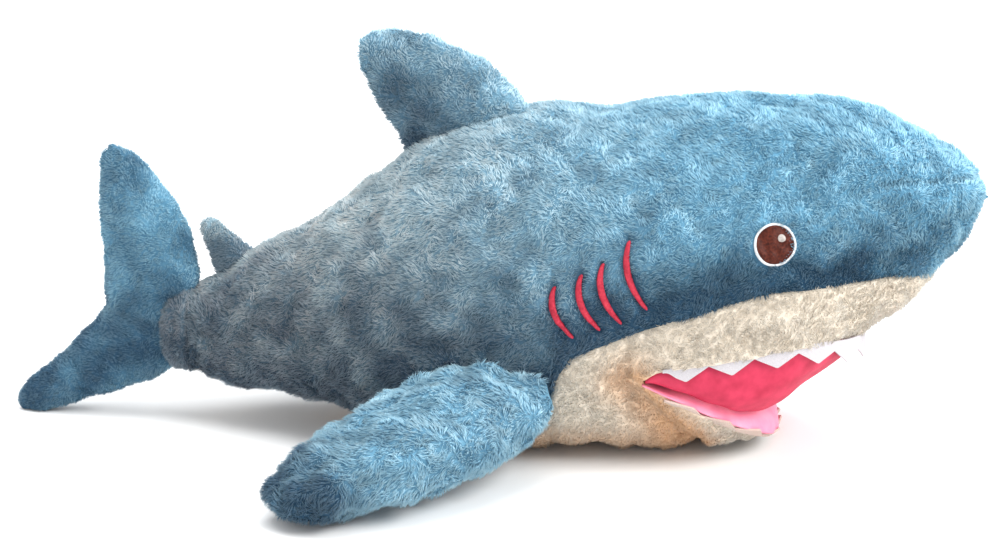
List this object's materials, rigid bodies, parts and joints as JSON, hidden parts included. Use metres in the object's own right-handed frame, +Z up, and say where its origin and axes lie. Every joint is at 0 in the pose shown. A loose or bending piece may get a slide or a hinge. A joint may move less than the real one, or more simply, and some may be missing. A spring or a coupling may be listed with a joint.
{
  "type": "plush shark",
  "caption": "Large stuffed toy shark with an open mouth, felt teeth, a hinged lower jaw, leaning dorsal fins, lifting pectoral fins and a swinging tail.",
  "frame": {"origin": "on the surface that the shark lies on, under the middle of its overall box", "axes": "+X to the nose, +Y to the shark's left, +Z up"},
  "size_m": [1.0077, 0.6092, 0.4185],
  "materials": {
    "blue_fur": "matte",
    "cream_fur": "matte",
    "filling": "matte",
    "crimson_lining": "matte",
    "pink_lining": "matte",
    "white_felt": "matte",
    "cream_felt": "matte",
    "white_thread": "matte",
    "brown_thread": "matte",
    "red_thread": "matte"
  },
  "bodies": {
    "trunk": {"upper_skin_left": "blue_fur", "upper_skin_right": "blue_fur", "belly_skin": "cream_fur", "snout_skin": "cream_fur", "trunk_filling": "filling", "palate_lining": "crimson_lining", "upper_teeth": "white_felt", "eye_rings": "white_thread", "eye_irises": "brown_thread", "eye_glints": "white_thread", "gill_stripes_left": "red_thread", "gill_stripes_right": "red_thread"},
    "jaw": {"jaw_skin": "cream_fur", "jaw_lining": "pink_lining", "jaw_filling": "filling", "lower_teeth": "cream_felt"},
    "dorsal_fin": {"dorsal_fin_left": "blue_fur", "dorsal_fin_right": "blue_fur", "dorsal_fin_filling": "filling"},
    "second_dorsal_fin": {"second_dorsal_fin_left": "blue_fur", "second_dorsal_fin_right": "blue_fur", "second_dorsal_fin_filling": "filling"},
    "pectoral_fin_right": {"pectoral_fin_right_upper": "blue_fur", "pectoral_fin_right_lower": "blue_fur", "pectoral_fin_right_filling": "filling"},
    "pectoral_fin_left": {"pectoral_fin_left_upper": "blue_fur", "pectoral_fin_left_lower": "blue_fur", "pectoral_fin_left_filling": "filling"},
    "tail": {"tail_fin_left": "blue_fur", "tail_fin_right": "blue_fur", "tail_filling": "filling"}
  },
  "joints": [
    {"name": "jaw_hinge", "type": "hinge", "parent": "trunk", "child": "jaw", "pos_m": [0.168, 0, 0.097], "axis": [0, -1, 0], "range_deg": [0, 10], "stiffness_Nm_per_rad": 0.6, "deforming": ["palate_lining"]},
    {"name": "dorsal_fin_lean", "type": "hinge", "parent": "trunk", "child": "dorsal_fin", "pos_m": [-0.02, 0, 0.318], "axis": [0.9285, 0, 0.3714], "range_deg": [-15, 15], "stiffness_Nm_per_rad": 0.4},
    {"name": "second_dorsal_fin_lean", "type": "hinge", "parent": "trunk", "child": "second_dorsal_fin", "pos_m": [-0.262, 0, 0.172], "axis": [0.848, 0, 0.53], "range_deg": [-18, 18], "stiffness_Nm_per_rad": 0.02},
    {"name": "pectoral_fin_right_lift", "type": "hinge", "parent": "trunk", "child": "pectoral_fin_right", "pos_m": [0.03, -0.15, 0.112], "axis": [-1, 0, 0], "range_deg": [0, 30], "stiffness_Nm_per_rad": 0.8},
    {"name": "pectoral_fin_left_lift", "type": "hinge", "parent": "trunk", "child": "pectoral_fin_left", "pos_m": [0.03, 0.15, 0.112], "axis": [1, 0, 0], "range_deg": [0, 30], "stiffness_Nm_per_rad": 0.8},
    {"name": "tail_swing", "type": "hinge", "parent": "trunk", "child": "tail", "pos_m": [-0.345, 0, 0.1], "axis": [0, 0, 1], "range_deg": [-18, 18], "stiffness_Nm_per_rad": 0.8}
  ]
}
